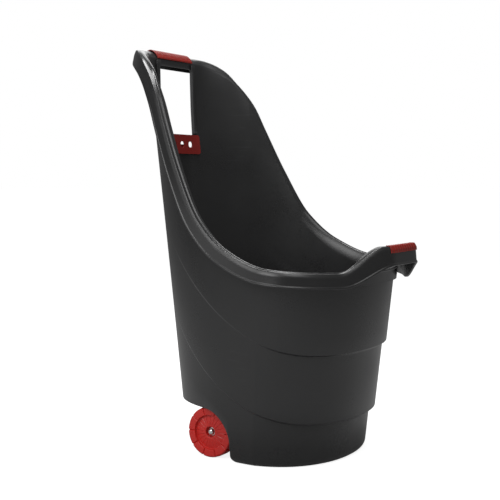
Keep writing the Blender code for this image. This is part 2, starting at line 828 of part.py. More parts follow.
def make_axle_cap(name, side, made_of):
    """Domed steel push-on cap that keeps the wheel on the axle."""
    start = WHEEL_FACE - 0.0120 + GAP
    tip = WHEEL_FACE - 0.0030
    inner = AXLE_RADIUS + GAP
    floor = WHEEL_FACE - 0.0060 + GAP
    profile = [
        (side * tip, 0),
        (side * (tip - 0.0004), 0.0028),
        (side * (tip - 0.0016), 0.0050),
        (side * (tip - 0.0034), 0.0063),
        (side * (start + 0.0010), 0.0064),
        (side * (start + 0.0008), 0.0082),
        (side * start, 0.0082),
        (side * start, inner),
        (side * floor, inner),
        (side * floor, 0),
    ]
    return turned(name, profile, made_of)


def main():
    clear_scene()
    black = material("black_plastic", (0.032, 0.032, 0.034), 0.42)
    red_grip = material("red_grip", (0.250, 0.030, 0.022), 0.48)
    red_wheel = material("red_wheel", (0.420, 0.032, 0.028), 0.45)
    red_rack = material("red_rack", (0.210, 0.020, 0.016), 0.45)
    steel = material("steel", (0.62, 0.62, 0.62), 0.28, 1.0)
    make_tub(black)
    make_rear_grip(red_grip)
    make_front_grip(red_grip)
    make_tool_rack(red_rack)
    make_wheel("wheel_left", -1, red_wheel)
    make_wheel("wheel_right", 1, red_wheel)
    make_axle(steel)
    make_axle_cap("axle_cap_left", -1, steel)
    make_axle_cap("axle_cap_right", 1, steel)


main()
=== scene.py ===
# %% [markdown]
# # A garden cart in moulded plastic
# The cart is one black tub with a swept rim, a bar handle at the back and a lifting handle at
# the front. Two red wheels, two red grips and a red tool rack are added to it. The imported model
# fixes where everything is, and this file gives each piece its fine surface and its finish.

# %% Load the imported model
import math

import bmesh
import bpy
import numpy as np
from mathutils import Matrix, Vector


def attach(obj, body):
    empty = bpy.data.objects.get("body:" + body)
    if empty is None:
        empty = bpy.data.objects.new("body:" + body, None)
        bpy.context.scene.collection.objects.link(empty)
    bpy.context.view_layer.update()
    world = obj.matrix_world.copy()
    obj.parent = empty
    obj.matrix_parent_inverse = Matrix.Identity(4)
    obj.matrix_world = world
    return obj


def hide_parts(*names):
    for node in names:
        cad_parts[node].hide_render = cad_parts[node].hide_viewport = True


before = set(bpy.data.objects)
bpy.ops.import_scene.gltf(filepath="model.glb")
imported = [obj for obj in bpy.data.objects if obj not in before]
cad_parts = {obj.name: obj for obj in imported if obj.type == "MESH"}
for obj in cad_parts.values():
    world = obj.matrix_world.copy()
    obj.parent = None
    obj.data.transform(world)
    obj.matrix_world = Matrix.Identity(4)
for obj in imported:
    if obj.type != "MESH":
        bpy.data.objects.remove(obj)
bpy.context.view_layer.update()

# %% [markdown]
# ## Surfaces from whole arrays
# Every new piece starts as a grid of points: rows that follow one another, each with the same
# number of columns. A helper turns the grid into a mesh. Real mouldings have no sharp corners,
# so a second helper cuts each corner of the section away and puts a short curve in its place.

# %% Grid, rounding and Boolean helpers
def put_faces(name, points, faces):
    """A mesh object from arrays of points and quads."""
    mesh = bpy.data.meshes.new(name)
    mesh.from_pydata(points.tolist(), [], faces.tolist())
    obj = bpy.data.objects.new(name, mesh)
    bpy.context.scene.collection.objects.link(obj)
    return obj


def grid_quads(rows, columns, close_rows, close_columns):
    """Corner numbers of every quad: row r, column c, then the next column and the next row."""
    r, c = np.meshgrid(
        np.arange(rows if close_rows else rows - 1),
        np.arange(columns if close_columns else columns - 1),
        indexing="ij",
    )
    r2, c2 = (r + 1) % rows, (c + 1) % columns
    corners = [r * columns + c, r * columns + c2, r2 * columns + c2, r2 * columns + c]
    return np.stack(corners, axis=-1).reshape(-1, 4)


def facing_out(obj):
    """Merge doubles, then turn every face outwards."""
    work = bmesh.new()
    work.from_mesh(obj.data)
    bmesh.ops.remove_doubles(work, verts=work.verts, dist=1e-7)
    bmesh.ops.recalc_face_normals(work, faces=work.faces)
    work.to_mesh(obj.data)
    work.free()
    return obj


def ring_grid(name, rows):
    """A closed tube: the rows follow a closed section and the columns run round."""
    rows = np.stack(rows)
    quads = grid_quads(rows.shape[0], rows.shape[1], True, True)
    return facing_out(put_faces(name, rows.reshape(-1, 3), quads))


def swept(name, sections):
    """A solid through closed sections, with a fan of faces over each end."""
    sections = np.asarray(sections, float)
    count, size = sections.shape[:2]
    quads = grid_quads(count, size, False, True)
    points = sections.reshape(-1, 3)
    mesh = bpy.data.meshes.new(name)
    ends = [list(range(size)), list(range((count - 1) * size, count * size))]
    mesh.from_pydata(points.tolist(), [], quads.tolist() + ends)
    obj = bpy.data.objects.new(name, mesh)
    bpy.context.scene.collection.objects.link(obj)
    return facing_out(obj)


def prism(name, outline, axis, low, high):
    """A closed outline pushed along one axis from low to high."""
    flat = np.asarray(outline, float)
    ends = [np.insert(flat, axis, along, axis=1) for along in (low, high)]
    return swept(name, ends)


def unit(v):
    """Vectors scaled to length 1."""
    return v / np.maximum(np.linalg.norm(v, axis=-1, keepdims=True), 1e-12)


def round_corners(points, radii, closed, steps=4):
    """Each corner becomes a quadratic curve that starts and ends its radius away from it.

    The curve is (1-t)^2 A + 2t(1-t) P + t^2 B, with A and B on the two sides of corner P. The
    radius is held below 0.45 of the shorter side, so that neighbouring curves never cross.
    """
    count = len(points)
    made = []
    for i, radius in enumerate(radii):
        here = points[i]
        if radius == 0 or (not closed and i in (0, count - 1)):
            made.append(here)
            continue
        before, after = points[i - 1] - here, points[(i + 1) % count] - here
        reach_1 = np.minimum(radius, 0.45 * np.linalg.norm(before, axis=-1, keepdims=True))
        reach_2 = np.minimum(radius, 0.45 * np.linalg.norm(after, axis=-1, keepdims=True))
        a, b = here + reach_1 * unit(before), here + reach_2 * unit(after)
        for t in np.linspace(0, 1, steps + 1):
            made.append((1 - t) ** 2 * a + 2 * t * (1 - t) * here + t * t * b)
    return made


def combine(target, other, operation):
    """Join the target with another closed solid, or cut it, and drop the other."""
    change = target.modifiers.new(operation.title(), "BOOLEAN")
    change.operation = operation
    change.solver = "MANIFOLD"
    change.object = other
    graph = bpy.context.evaluated_depsgraph_get()
    target_done = bpy.data.meshes.new_from_object(target.evaluated_get(graph))
    target.modifiers.clear()
    target.data = target_done
    bpy.data.objects.remove(other, do_unlink=True)


def shade(obj, angle=32):
    """Smooth shading, with edges sharper than the angle kept."""
    obj.data.shade_smooth()
    obj.data.set_sharp_from_angle(angle=math.radians(angle))
    print(f"{obj.name}: {len(obj.data.polygons)} faces")
    return obj


def arc(centre, radius, start, end, steps):
    """Points on an arc, angles in degrees."""
    turn = np.radians(np.linspace(start, end, steps + 1))
    return [(centre[0] + radius * math.cos(a), centre[1] + radius * math.sin(a)) for a in turn]


def smoothstep(low, high, value):
    """0 below low, 1 above high, and 3s^2 - 2s^3 between. Low may be the larger."""
    share = np.clip((np.asarray(value, float) - low) / (high - low), 0, 1)
    return share * share * (3 - 2 * share)


def soft_min(a, b, width):
    """The smaller of a and b, rounded over about this width where they cross."""
    return -width * np.logaddexp(-np.asarray(a) / width, -np.asarray(b) / width)


# %% [markdown]
# ## The tub's surface
# Seen from above, every level of the tub is a superellipse: |x/a|^n + |y/b|^n = 1 with n a
# little over 2, so it is rounder than a box and fuller than an ellipse. The half width, the
# front edge and the back edge are gentle curves of height, and the back eases into a flat panel.

# %% Plan of the tub at each height
WALL = 0.003
BASE_ROUND = 0.015
COLUMNS = 432
FRONT_POWER, BACK_POWER = 2.12, 2.07
RIM_TOP = 0.838
CORNER_EASE = 0.004
HALVINGS = 40
ABOVE_ALL = 0.9
CROWDING = 0.13


def half_width(z):
    return 0.183 + 0.147 * z - 0.078 * z * z


def front_edge(z):
    return -0.207 - 0.081 * z


def back_edge(z):
    return 0.190 + 0.087 * z + 0.039 * z * z


def middle(z):
    return -0.052 - 0.125 * z


def back_panel(z):
    """The flat panel that the top of the back eases into."""
    return 0.178 + 0.1822 * z - 0.1065 * z * z


def plan_point(angle, z):
    """Outer surface at this height; the angle runs from the front round past +X to the back."""
    s, c = np.sin(angle), np.cos(angle)
    power = np.where(c > 0, FRONT_POWER, BACK_POWER)
    reach = np.where(c > 0, middle(z) - front_edge(z), back_edge(z) - middle(z))
    radius = (np.abs(s) ** power + np.abs(c) ** power) ** (-1 / power)
    y = soft_min(middle(z) - reach * radius * c, back_panel(z), CORNER_EASE)
    return half_width(z) * radius * s, y


def plan_normal(angle, z):
    """Outward direction, level with the floor: the tangent turned a quarter."""
    small = 1e-3
    x1, y1 = plan_point(angle + small, z)
    x0, y0 = plan_point(angle - small, z)
    tx, ty = x1 - x0, y1 - y0
    length = np.hypot(tx, ty)
    return ty / length, -tx / length


def wall_points(angle, z, inset=0.0):
    """Points on the wall, moved inwards by inset."""
    x, y = plan_point(angle, z)
    nx, ny = plan_normal(angle, z)
    return np.stack([x - inset * nx, y - inset * ny, np.broadcast_to(z, x.shape)], axis=-1)


def back_face(x, z, inset=WALL):
    """The inner face of the back wall: its y at this x and height."""
    angle = np.linspace(0.72 * np.pi, 1.28 * np.pi, 601)
    points = wall_points(angle, z * np.ones_like(angle), inset)
    return np.interp(x, points[::-1, 0], points[::-1, 1])


def height_on(angle, curve):
    """Height at which the surface meets z = curve(y), by halving the interval."""
    low, high = np.zeros_like(angle), np.full_like(angle, ABOVE_ALL)
    for _ in range(HALVINGS):
        mid = (low + high) / 2
        above = mid > curve(plan_point(angle, mid)[1])
        high = np.where(above, mid, high)
        low = np.where(above, low, mid)
    return (low + high) / 2


def column_angles():
    """Angles of the columns: a - c sin(2a) for even angles a, denser at the front and back."""
    even = 2 * np.pi * np.arange(COLUMNS) / COLUMNS
    return even - CROWDING * np.sin(2 * even)


# %% [markdown]
# ## The rim's sweep and the moulded steps
# From the side the rim rises from the low front lip in a long S to the bar. A monotone cubic
# through a few points keeps it free of waves. Two steps sweep round the tub, deepest at the
# front and gone at the back: each is a small S-shaped change of the wall's inset.

# %% Rim line and step lines
RIM_SIDE_VIEW = (
    (-0.245, 0.382),
    (-0.113, 0.394),
    (-0.028, 0.427),
    (0.037, 0.484),
    (0.090, 0.578),
    (0.134, 0.6760),
    (0.154, 0.7230),
    (0.180, 0.7662),
    (0.211, 0.8090),
    (0.238, 0.8285),
    (0.256, RIM_TOP - 0.0025),
    (0.272, RIM_TOP),
    (0.300, RIM_TOP),
)
UPPER_STEP = {"front": 0.225, "rise": 1.54, "power": 2.0, "depth": 0.0092}
LOWER_STEP = {"front": 0.088, "rise": 1.88, "power": 2.3, "depth": 0.0131}
STEP_HEIGHT, STEP_ROUND = 0.003, 0.0016
SOFT_STEP = 0.010
STEP_ORIGIN, STEP_LEAST, STEP_FADE = -0.217, 0.12, (0.17, 0.05)


def rim_height(y):
    """Monotone cubic: each point's slope is the weighted harmonic mean of its two sides'."""
    ys, zs = np.array(RIM_SIDE_VIEW).T
    step, rise = np.diff(ys), np.diff(zs)
    slope = rise / step
    ends = np.zeros_like(ys)
    both = slope[1:] * slope[:-1] > 0
    weight_1, weight_2 = 2 * step[1:] + step[:-1], step[1:] + 2 * step[:-1]
    mean = (weight_1 + weight_2) / (
        weight_1 / np.where(both, slope[:-1], 1) + weight_2 / np.where(both, slope[1:], 1)
    )
    ends[1:-1] = np.where(both, mean, 0)
    ends[0] = slope[0]
    y = np.clip(y, ys[0], ys[-1])
    k = np.clip(np.searchsorted(ys, y) - 1, 0, len(step) - 1)
    t = (y - ys[k]) / step[k]
    return (
        (2 * t**3 - 3 * t**2 + 1) * zs[k]
        + (t**3 - 2 * t**2 + t) * step[k] * ends[k]
        + (3 * t**2 - 2 * t**3) * zs[k + 1]
        + (t**3 - t**2) * step[k] * ends[k + 1]
    )


def step_height(step):
    """The line of a moulded step as a function of y."""
    def line(y):
        return step["front"] + step["rise"] * np.clip(y - STEP_ORIGIN, 0, None) ** step["power"]

    return line


def step_share(angle, z):
    """How deep the steps are here: full at the front, shallow at the sides, gone at the back."""
    y = plan_point(angle, z)[1]
    front_share = np.clip((middle(z) - y) / (middle(z) - front_edge(z)), 0, 1) ** 0.8
    return (STEP_LEAST + (1 - STEP_LEAST) * front_share) * smoothstep(*STEP_FADE, y)


# %% [markdown]
# ## Flange, bar and front handle
# The rim is a section carried round the tub: a low round lip inside, a flat plate, a bevel and
# a skirt that hangs from the outer edge and ends in a small bead. At the back the section
# fattens into the rear bar, and at the front the plate widens and climbs into the front handle.
# Each change fades in along the rim. Its pair of values says where it starts and where it is
# complete: a distance from the middle plane, or a height for the bar and the lip.

# %% The rim's section in every column
FLANGE_WIDTH, SKIRT_DEPTH, LIP_HEIGHT = 0.019, 0.029, 0.0018
SKIRT_BEAD, LIP_SHIFT = 0.0018, 0.0030
BAR_WIDTH, BAR_SKIRT_DEPTH, BAR_FLARE = 0.0256, 0.032, 0.001
BAR_CROWN, BAR_MIDDLE = 0.015, 0.0165
BAR_FRONT, BAR_CORNER, BAR_CORNER_Y, ARM_SLOPE = -0.292, 0.0666, -0.2885, 0.700
HANDLE_RISE, SKIRT_RISE = 0.0505, 0.042
LEDGE_OUT, LEDGE_DOWN = 0.0085, 0.027
PLATE_TOP, PLATE_UNDER, SKIRT_FLARE, SKIRT_THICK = -0.0008, -0.0040, 0.003, 0.0030
BEVEL_WIDTH, BEVEL_OUT, BEVEL_LOW = 0.0030, 0.0005, -0.0070
FRONT_LIP_Y, FRONT_END = -0.2375, -0.10
BAR_FADE, WIDEN_FADE, RISE_FADE = (0.760, 0.832), (0.168, 0.132), (0.155, 0.070)
SKIRT_FADE, LEDGE_FADE = (0.152, 0.052), (0.125, 0.100)
HANDLE_FADE, LIP_FADE = (0.120, 0.090), (0.725, 0.800)


def handle_outline(x):
    """Plan view of the front handle's outer edge: a bar with arms that sweep back."""
    arm = BAR_CORNER_Y + ARM_SLOPE * (np.abs(x) - BAR_CORNER)
    return -soft_min(-BAR_FRONT * np.ones_like(arm), -arm, CORNER_EASE)


def bar_share(z):
    """1 on the rear bar, easing to 0 down the sides of the rim."""
    return smoothstep(*BAR_FADE, z)


def bar_crown(out):
    """The rear bar's rounded top: how far the plate drops away from its middle."""
    return -BAR_CROWN * ((out - BAR_MIDDLE) / (BAR_MIDDLE + WALL)) ** 2


def flange_reach(top, normal):
    """Width of the flange at each column: it widens at the front to carry the handle."""
    low, high = np.zeros(len(top)), np.full(len(top), 0.12)
    for _ in range(HALVINGS):
        mid = (low + high) / 2
        point = top[:, :2] + mid[:, None] * normal
        outside = point[:, 1] < handle_outline(point[:, 0])
        high = np.where(outside, mid, high)
        low = np.where(outside, low, mid)
    share = smoothstep(*WIDEN_FADE, np.abs(top[:, 0])) * (top[:, 1] < 0)
    bar = (BAR_WIDTH - FLANGE_WIDTH) * bar_share(top[:, 2])
    return FLANGE_WIDTH + bar + share * np.clip((low + high) / 2 - FLANGE_WIDTH, 0, None)


def rim_frames(angle):
    """Top edge of the wall, outward normal and the direction that counts as up, per column."""
    top_z = height_on(angle, rim_height)
    top = wall_points(angle, top_z)
    normal = np.stack(plan_normal(angle, top_z), axis=-1)
    along = np.roll(top, -1, axis=0) - np.roll(top, 1, axis=0)
    level = np.column_stack([normal, np.zeros(len(top))])
    up = unit(np.cross(level, along))
    up *= np.sign(up[:, 2:3])
    return top, level, up


def flange_rows(angle):
    """Rows over the flange, from its underside at the wall to the inner lip, with radii."""
    top, level, up = rim_frames(angle)
    width = flange_reach(top, level[:, :2])
    outer_x = np.abs(top[:, 0] + width * level[:, 0])
    at_front = top[:, 1] < FRONT_END
    rise = HANDLE_RISE * smoothstep(*RISE_FADE, outer_x) * at_front
    skirt_rise = SKIRT_RISE * smoothstep(*SKIRT_FADE, outer_x) * at_front
    at_bar = bar_share(top[:, 2])
    depth = SKIRT_DEPTH + rise - skirt_rise + (BAR_SKIRT_DEPTH - SKIRT_DEPTH) * at_bar
    flare = SKIRT_FLARE + BAR_FLARE * at_bar
    plain = smoothstep(*HANDLE_FADE, np.abs(top[:, 0])) * at_front
    plain = np.maximum(plain, smoothstep(*LIP_FADE, top[:, 2]))
    lip = PLATE_TOP + (LIP_HEIGHT - PLATE_TOP) * (1 - plain)
    ledge = LEDGE_OUT * smoothstep(*LEDGE_FADE, np.abs(top[:, 0])) * at_front
    bead = SKIRT_BEAD * (1 - at_bar)
    shift = LIP_SHIFT * (1 - plain)

    def row(out, rise_by):
        """Points this far out from the wall and up from the rim line. A minus goes down."""
        on_plate = smoothstep(-0.012, -0.008, rise_by)
        rise_by = rise_by + at_bar * on_plate * bar_crown(out)
        lifted = rise * smoothstep(0.20, 0.62, out / width)
        return top + out[:, None] * level + rise_by[:, None] * up + lifted[:, None] * (0, 0, 1)

    same = np.ones(len(top))
    rows = [(row(ledge, PLATE_UNDER * same), 0.0012)]
    for share in (0.25, 0.34, 0.42, 0.52, 0.62, 0.75):
        rows.append((row(np.maximum(share * width, ledge), PLATE_UNDER * same), 0))
    rows += [
        (row(width - 0.0035, -0.0042 * same), 0.0015),
        (row(width + flare - SKIRT_THICK, -depth), 0.0008),
        (row(width + flare + bead, -depth), 0.0014),
        (row(width + flare + bead, 0.0030 - depth), 0.0018),
        (row(width + flare - 0.0002, 0.0050 - depth), 0.0010),
        (row(width + BEVEL_OUT, BEVEL_LOW * same), 0.0030),
        (row(width - BEVEL_WIDTH, PLATE_TOP * same), 0.0018),
    ]
    lip_foot = 0.0042 + 2.0 * shift
    for share in (0.85, 0.7, 0.55, 0.4, 0.25, 0.12):
        out = lip_foot + share * (width - BEVEL_WIDTH - lip_foot)
        rows.append((row(out, PLATE_TOP * same), 0))
    rows += [
        (row(lip_foot, PLATE_TOP * same), 0.0012),
        (row(0.0026 + 1.8 * shift, lip), 0.0022),
        (row(1.7 * shift - WALL, lip - 0.0016 * (1 - at_bar)), 0.0022),
    ]
    return rows


# %% [markdown]
# ## The wall, outside and inside
# The wall is built as rows of points, up the outside and down the inside. Both faces use the
# same insets, so the moulding keeps one thickness. Only the steps are softer inside.

# %% Rows of the wall
LIP_DEPTH = 0.012


def wall_rows(angle):
    """Rows up the outside of the wall and down its inside, each with its corner radius."""
    top_z = height_on(angle, rim_height)
    upper = height_on(angle, step_height(UPPER_STEP))
    lower = height_on(angle, step_height(LOWER_STEP))
    upper_in = UPPER_STEP["depth"] * step_share(angle, upper)
    lower_in = upper_in + LOWER_STEP["depth"] * step_share(angle, lower)
    outside = []
    for turn in np.radians(np.linspace(0, 90, 8)):
        z = BASE_ROUND * (1 - math.cos(turn)) * np.ones_like(angle)
        place = wall_points(angle, z, lower_in + BASE_ROUND * (1 - math.sin(turn)))
        outside.append((place, 0))
    low_band = lower - STEP_HEIGHT
    for share in (0.35, 0.7):
        z = BASE_ROUND + share * (low_band - BASE_ROUND)
        outside.append((wall_points(angle, z, lower_in), 0))
    outside += [
        (wall_points(angle, low_band, lower_in), STEP_ROUND),
        (wall_points(angle, lower, upper_in), STEP_ROUND),
    ]
    for share in (0.33, 0.67):
        z = lower + share * (upper - STEP_HEIGHT - lower)
        outside.append((wall_points(angle, z, upper_in), 0))
    outside += [
        (wall_points(angle, upper - STEP_HEIGHT, upper_in), STEP_ROUND),
        (wall_points(angle, upper, 0), STEP_ROUND),
    ]
    for share in (0.2, 0.4, 0.6, 0.8):
        outside.append((wall_points(angle, upper + share * (top_z - upper), 0), 0))
    ledge_share = smoothstep(*LEDGE_FADE, np.abs(plan_point(angle, top_z)[0]))
    ledge_share = ledge_share * (np.cos(angle) > 0)
    ledge_z = top_z - LEDGE_DOWN
    outside += [
        (wall_points(angle, ledge_z - 0.002, 0), 0),
        (wall_points(angle, ledge_z, -LEDGE_OUT * ledge_share), 0),
    ]
    inside = [(wall_points(angle, top_z - LIP_DEPTH * (1 + bar_share(top_z)), WALL), 0)]
    for share in (0.8, 0.6, 0.4, 0.2):
        inside.append((wall_points(angle, upper + share * (top_z - upper), WALL), 0))
    inside += [
        (wall_points(angle, upper + SOFT_STEP, WALL), SOFT_STEP),
        (wall_points(angle, upper - STEP_HEIGHT - SOFT_STEP, upper_in + WALL), SOFT_STEP),
        (wall_points(angle, lower + SOFT_STEP, upper_in + WALL), SOFT_STEP),
        (wall_points(angle, lower - STEP_HEIGHT - SOFT_STEP, lower_in + WALL), SOFT_STEP),
    ]
    inner_round = BASE_ROUND - WALL
    for turn in np.radians(np.linspace(90, 0, 6)):
        z = (BASE_ROUND - inner_round * math.cos(turn)) * np.ones_like(angle)
        inset = lower_in + BASE_ROUND - inner_round * math.sin(turn)
        inside.append((wall_points(angle, z, inset), 0))
    return outside, inside


def tub_wall(name):
    """The wall and its rim as one closed tube, open at the top and the bottom."""
    angle = column_angles()
    outside, inside = wall_rows(angle)
    rows = outside + flange_rows(angle) + inside
    return ring_grid(name, round_corners([r for r, _ in rows], [x for _, x in rows], True))


# %% [markdown]
# ## Floor, wheel arch and axle webs
# The floor is flat at the front and steps up over the wheels. Its side view is pushed along X
# and trimmed to the tub. The arch is cut through the walls, and four webs carry the axle. A
# Boolean suits these: they are real cuts and joins between solids. The arch's round foot is
# wider than the floor's square inner corner allows, so it also opens a slit about 3 mm wide
# across the floor, in front of the step. A round inner corner would close it.

# %% Floor and well
AXLE_Y, AXLE_Z = 0.0577, 0.052
WHEEL_RADIUS, WHEEL_WIDTH, WHEEL_FACE = 0.0515, 0.034, 0.165
AXLE_RADIUS, GAP = 0.005, 0.0003
WELL_RADIUS = WHEEL_RADIUS + 0.0075
WEB_PLACES, WEB_THICK, BOSS_RADIUS = (-0.1245, -0.043, 0.043, 0.1245), 0.004, 0.011
FLOOR_LOW = -0.0004
SHEET_REACH, SHEET_HALF, BODY_TOP, BODY_EASE = 0.30, 0.26, 0.15, 0.14
WEB_LAP, WEB_LOW, BOSS_START = 0.0015, 0.030, 0.1190


def well_outline(grow):
    """Side view of the space round the wheels: up round the wheel, then level to the back."""
    radius = WELL_RADIUS + grow
    return arc((AXLE_Y, AXLE_Z), radius, 180, 90, 24) + [(SHEET_REACH, AXLE_Z + radius)]


def floor_sheet():
    """The floor, trimmed to the middle of the wall's thickness."""
    under, over = well_outline(0), well_outline(WALL)
    outline = [(-SHEET_REACH, FLOOR_LOW), (under[0][0], FLOOR_LOW)] + under + over[::-1]
    outline += [(over[0][0], WALL), (-SHEET_REACH, WALL)]
    sheet = prism("floor_sheet", outline, 0, -SHEET_HALF, SHEET_HALF)
    angle = column_angles()
    share = step_share(angle, 0.05 * np.ones_like(angle))
    depth = (UPPER_STEP["depth"] + LOWER_STEP["depth"]) * share + WALL * 0.42
    rows = []
    for turn in np.radians(np.linspace(0, 90, 8)):
        z = BASE_ROUND * (1 - math.cos(turn)) * np.ones_like(angle)
        rows.append(wall_points(angle, z, depth + BASE_ROUND * (1 - math.sin(turn))))
    lower = height_on(angle, step_height(LOWER_STEP))
    rows.append(wall_points(angle, np.minimum(lower, BODY_EASE), depth))
    rows.append(wall_points(angle, BODY_TOP * np.ones_like(angle), depth))
    combine(sheet, swept("lower_body", rows), "INTERSECT")
    return sheet


def arch_cutter():
    """The arch over the wheels and out at the back, with a rounded foot in front."""
    centre, radius, foot = (0.063, 0.0390), 0.0635, 0.016
    front = centre[0] - radius
    outline = [(0.40, centre[1] + radius)] + arc(centre, radius, 90, 180, 28)
    outline += arc((front - foot, foot), foot, 0, -90, 12) + [(front - foot, -0.02), (0.40, -0.02)]
    return prism("arch_cut", outline, 0, -0.30, 0.30)


def add_axle_webs(tub):
    """Webs under the raised floor, a boss beside each wheel and the bore for the axle."""
    axle = (AXLE_Y, AXLE_Z)
    roof, front = AXLE_Z + WELL_RADIUS + WEB_LAP, AXLE_Y - WELL_RADIUS - WEB_LAP
    for place in WEB_PLACES:
        outline = [(front, WEB_LOW), (AXLE_Y - 0.020, WEB_LOW), *arc(axle, 0.0155, 235, 360, 20)]
        outline += [(AXLE_Y + 0.030, roof - 0.012), (AXLE_Y + 0.040, roof)]
        outline += [(AXLE_Y - 0.006, roof), *arc(axle, WELL_RADIUS + WEB_LAP, 100, 170, 16)]
        web = prism("web", outline, 0, place - WEB_THICK / 2, place + WEB_THICK / 2)
        combine(tub, web, "UNION")
    for side in (-1, 1):
        ends = sorted((side * BOSS_START, side * (WHEEL_FACE - WHEEL_WIDTH - 0.0006)))
        boss = prism("boss", arc(axle, BOSS_RADIUS, 0, 354, 59), 0, *ends)
        combine(tub, boss, "UNION")
    bore = prism("bore", arc(axle, AXLE_RADIUS + GAP, 0, 354, 59), 0, -0.2, 0.2)
    combine(tub, bore, "DIFFERENCE")


# %% [markdown]
# ## Openings for the hands
# A window with round corners is cut under the rear bar, with a raised post on each side of it,
# and a slot is cut between the front bar and the lip.

# %% Rear opening, posts and finger gap
OPENING_HALF, OPENING_BOTTOM, OPENING_TOP = 0.061, 0.627, 0.806
FRAME_WIDTH, FRAME_PROUD = 0.010, 0.0045
FINGER_GAP = ((0.086, -0.2480), (0.058, -0.2715))
POST_ENDS, POST_SUNK, WINDOW_ROUND = (0.664, 0.816), 0.0012, 0.006


def frame_post(side):
    """A raised post on the inner face of the back, its free edges rounded."""
    near, far = side * (OPENING_HALF - 0.002), side * (OPENING_HALF + FRAME_WIDTH)
    sections = []
    for z in np.linspace(*POST_ENDS, 24):
        near_face, far_face = back_face(np.array([near, far]), z)
        corners = np.array(
            [
                (near, near_face + POST_SUNK, z),
                (near, near_face - FRAME_PROUD, z),
                (far, far_face - FRAME_PROUD, z),
                (far, far_face + POST_SUNK, z),
            ]
        )
        sections.append(round_corners(corners, (0, 0.0014, 0.0030, 0), False, 6))
    return swept("post", sections)


def rounded_rectangle(x0, z0, x1, z1, radius, steps=8):
    """Outline of a rectangle with round corners."""
    points = []
    for x, z, turn in ((x1, z1, 0), (x0, z1, 90), (x0, z0, 180), (x1, z0, 270)):
        centre = (x - math.copysign(radius, x - (x0 + x1) / 2),
                  z - math.copysign(radius, z - (z0 + z1) / 2))
        points += arc(centre, radius, turn, turn + 90, steps)
    return points


def add_openings(tub):
    """Posts, the window under the rear bar and the gap behind the front bar."""
    for side in (-1, 1):
        combine(tub, frame_post(side), "UNION")
    window = rounded_rectangle(-OPENING_HALF, OPENING_BOTTOM, OPENING_HALF, OPENING_TOP, WINDOW_ROUND)
    combine(tub, prism("window", window, 1, 0.20, 0.2685), "DIFFERENCE")
    (wide, inner), (narrow, outer) = FINGER_GAP
    half = [(wide, inner), (wide - 0.004, inner - 0.006)]
    half += [(narrow + 0.006, outer + 0.002), (narrow - 0.004, outer)]
    gap = half + [(-x, y) for x, y in reversed(half)]
    combine(tub, prism("finger_cut", gap, 2, 0.33, 0.47), "DIFFERENCE")


# %% Make the tub
def make_tub():
    """Wall, floor, arch, webs and openings, joined into one moulding."""
    tub = tub_wall("tub_moulding")
    combine(tub, floor_sheet(), "UNION")
    combine(tub, arch_cutter(), "DIFFERENCE")
    add_axle_webs(tub)
    add_openings(tub)
    return shade(tub)


tub = make_tub()

# %% [markdown]
# ## Ribbed grips
# Each grip is a soft red cap over a bar. Its section is offset from the bar, and its thickness
# swings with a cosine along the bar, which gives rounded ribs. The ends thin out softly.

# %% Grips
GRIP_THICK, RIB_PITCH, RIB_DEPTH = 0.0020, 0.0108, 0.0012
REAR_GRIP_HALF, FRONT_GRIP_HALF, GRIP_SKIRT = 0.065, 0.062, -0.0200
END_ROUND, END_THIN = 0.0012, 0.0009


def offset_path(path, distance):
    """An open path moved to its left by a distance, mitred at its corners."""
    along = unit(np.diff(path, axis=0))
    normal = np.column_stack([-along[:, 1], along[:, 0]])
    corner = unit(np.vstack([normal[:1], normal[:-1] + normal[1:], normal[-1:]]))
    stretch = 1 / np.maximum(0.5, (corner * np.vstack([normal[:1], normal])).sum(axis=1))
    return path + distance * stretch[:, None] * corner


def ribbed_cap(name, profile, half, station):
    """A cap that wraps a bar: the profile is (out, up), and station(x) gives place and way out.

    Thickness is T - D (1 - cos(2 pi x / pitch)) / 2, less a quarter circle at each end.
    """
    ribs = round(2 * half / RIB_PITCH)
    places = np.linspace(-half, half, ribs * 10 + 1)
    close = half * (1 - 0.5 * (1 - np.cos(np.linspace(0, np.pi, 13)[1:-1])) * 0.02)
    places = np.unique(np.concatenate([places, close, -close]))
    profile = np.array(round_corners(np.array(profile), [0.0012] * len(profile), False, 4))
    inner = offset_path(profile, GAP)
    sections = []
    for x in places:
        wave = 0.5 * (1 - math.cos(2 * math.pi * (x + half) * ribs / (2 * half)))
        past = max(0.0, abs(x) - (half - END_ROUND)) / END_ROUND
        thinner = END_THIN * (1 - math.sqrt(max(0.0, 1 - past**2)))
        thick = GRIP_THICK - RIB_DEPTH * wave - thinner
        origin, out_way = station(x)
        section = np.vstack([offset_path(profile, GAP + thick), inner[::-1]])
        flat = np.asarray(origin)[:2] + section[:, :1] * np.asarray(out_way)
        sections.append(np.column_stack([flat, origin[2] + section[:, 1]]))
    return shade(swept(name, sections), 50)


def rear_station(x):
    return (x, float(back_panel(RIM_TOP)), RIM_TOP), (0.0, 1.0)


def front_station(x):
    y = float(handle_outline(np.array([x]))[0])
    small = 1e-3
    slope = float(handle_outline(np.array([x + small]))[0] - y) / small
    length = math.hypot(slope, 1)
    lift = HANDLE_RISE * float(smoothstep(*RISE_FADE, abs(x)))
    lip = float(rim_height(np.array([FRONT_LIP_Y]))[0])
    return (x, y, lip + lift), (slope / length, -1 / length)


